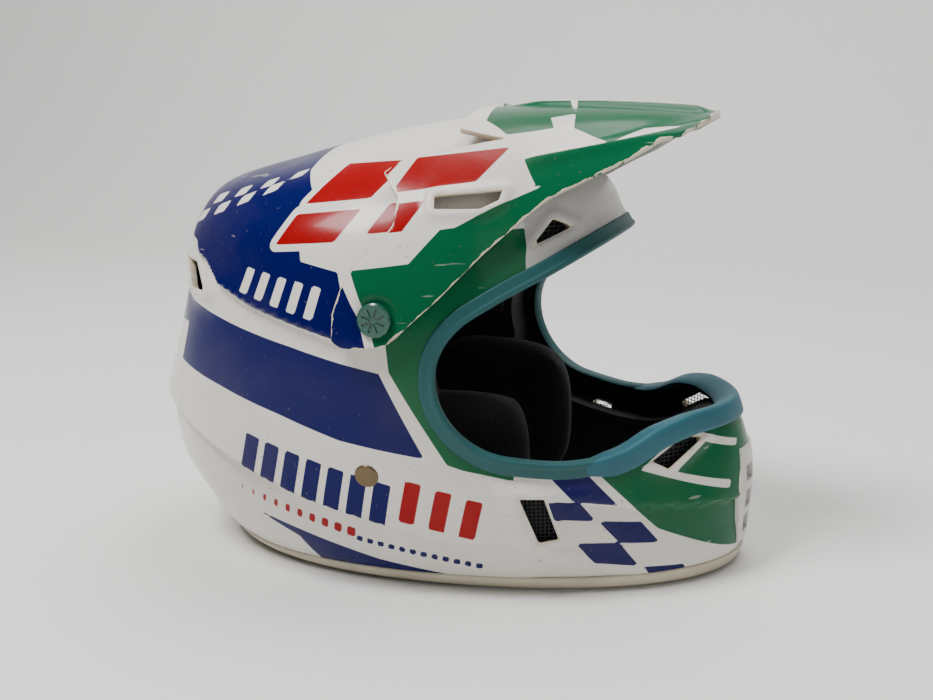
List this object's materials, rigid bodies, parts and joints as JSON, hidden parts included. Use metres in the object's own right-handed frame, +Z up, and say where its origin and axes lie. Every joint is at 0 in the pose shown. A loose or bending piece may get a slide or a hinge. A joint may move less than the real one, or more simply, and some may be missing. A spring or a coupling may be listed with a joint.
{
  "type": "motocross helmet",
  "caption": "Off-road motorcycle helmet with chin bar, open eyeport, tilting peak visor, vents, padded lining and D-ring chin strap.",
  "frame": {"origin": "middle of the helmet's box, on the surface it stands on", "axes": "+X the wearer's front, +Y the wearer's left, +Z up"},
  "size_m": [0.3418, 0.2574, 0.2498],
  "materials": {
    "shell_paint": "gloss painted graphics over white",
    "visor_paint": "gloss painted graphics over white",
    "trim_rubber": "satin teal rubber",
    "rim_rubber": "satin off-white rubber",
    "vent_plastic": "gloss moulded white plastic",
    "vent_mesh": "black painted woven mesh",
    "foam": "moulded black foam",
    "lining_fabric": "brushed black knit over soft foam",
    "screw_plastic": "satin teal nylon",
    "steel": "satin steel",
    "brass": "worn nickelled brass",
    "webbing": "woven black polyester"
  },
  "bodies": {
    "helmet": {"outer_shell": "shell_paint", "neck_edge_trim": "rim_rubber", "eyeport_trim": "trim_rubber", "nose_guard": "trim_rubber", "mouth_vent": "vent_plastic", "mouth_vent_mesh": "vent_mesh", "impact_liner": "foam", "chin_bar_liner": "foam", "comfort_liner": "lining_fabric", "cheek_pad_right": "lining_fabric", "cheek_pad_left": "lining_fabric", "neck_roll": "lining_fabric", "cheek_pad_snaps": "steel", "comfort_liner_snaps": "steel", "visor_nuts": "brass", "strap_rivet_right": "brass", "strap_rivet_left": "brass", "strap_anchor_right": "steel", "strap_anchor_left": "steel", "strap_webbing_upper_right": "webbing", "strap_webbing_upper_left": "webbing", "side_vent_mesh_right": "vent_mesh", "side_vent_mesh_left": "vent_mesh", "chin_vent_mesh_right": "vent_mesh", "chin_vent_mesh_left": "vent_mesh", "brow_vent_mesh_right": "vent_mesh", "brow_vent_mesh_left": "vent_mesh", "rear_vent_mesh_right": "vent_mesh", "rear_vent_mesh_left": "vent_mesh"},
    "visor": {"visor": "visor_paint"},
    "visor_side_screw_right": {"visor_side_screw_right": "screw_plastic"},
    "visor_side_screw_left": {"visor_side_screw_left": "screw_plastic"},
    "visor_centre_screw": {"visor_centre_screw": "screw_plastic"},
    "strap_short": {"strap_webbing_short": "webbing"},
    "strap_long": {"strap_webbing_long": "webbing", "strap_snap_stud": "steel", "strap_snap_socket": "steel"},
    "d_ring_small": {"d_ring_small": "steel"},
    "d_ring_large": {"d_ring_large": "steel"}
  },
  "joints": [
    {"name": "visor_tilt", "type": "hinge", "parent": "helmet", "child": "visor", "pos_m": [-0.005, 0, 0.149], "axis": [0, 1, 0], "range_deg": [-1.2, 0.8]},
    {"name": "visor_side_screw_right_turn", "type": "hinge", "parent": "helmet", "child": "visor_side_screw_right", "pos_m": [-0.005, -0.125, 0.149], "axis": [0, -1, 0], "continuous": true},
    {"name": "visor_side_screw_left_turn", "type": "hinge", "parent": "helmet", "child": "visor_side_screw_left", "pos_m": [-0.005, 0.125, 0.149], "axis": [0, 1, 0], "continuous": true},
    {"name": "visor_centre_screw_turn", "type": "hinge", "parent": "helmet", "child": "visor_centre_screw", "pos_m": [0.03158, 0, 0.24529], "axis": [0.3551, 0, 0.9348], "continuous": true},
    {"name": "strap_short_swing", "type": "hinge", "parent": "helmet", "child": "strap_short", "pos_m": [-0.013, 0.076, 0.012], "axis": [1, 0, 0], "range_deg": [0, 50]},
    {"name": "strap_long_swing", "type": "hinge", "parent": "helmet", "child": "strap_long", "pos_m": [-0.013, -0.076, 0.012], "axis": [-1, 0, 0], "range_deg": [0, 50]},
    {"name": "d_ring_small_swing", "type": "hinge", "parent": "strap_short", "child": "d_ring_small", "pos_m": [-0.013, 0.031, 0.0034], "axis": [1, 0, 0], "range_deg": [-100, 25]},
    {"name": "d_ring_large_swing", "type": "hinge", "parent": "strap_short", "child": "d_ring_large", "pos_m": [-0.013, 0.0346, 0.0034], "axis": [1, 0, 0], "range_deg": [-100, 25]}
  ]
}
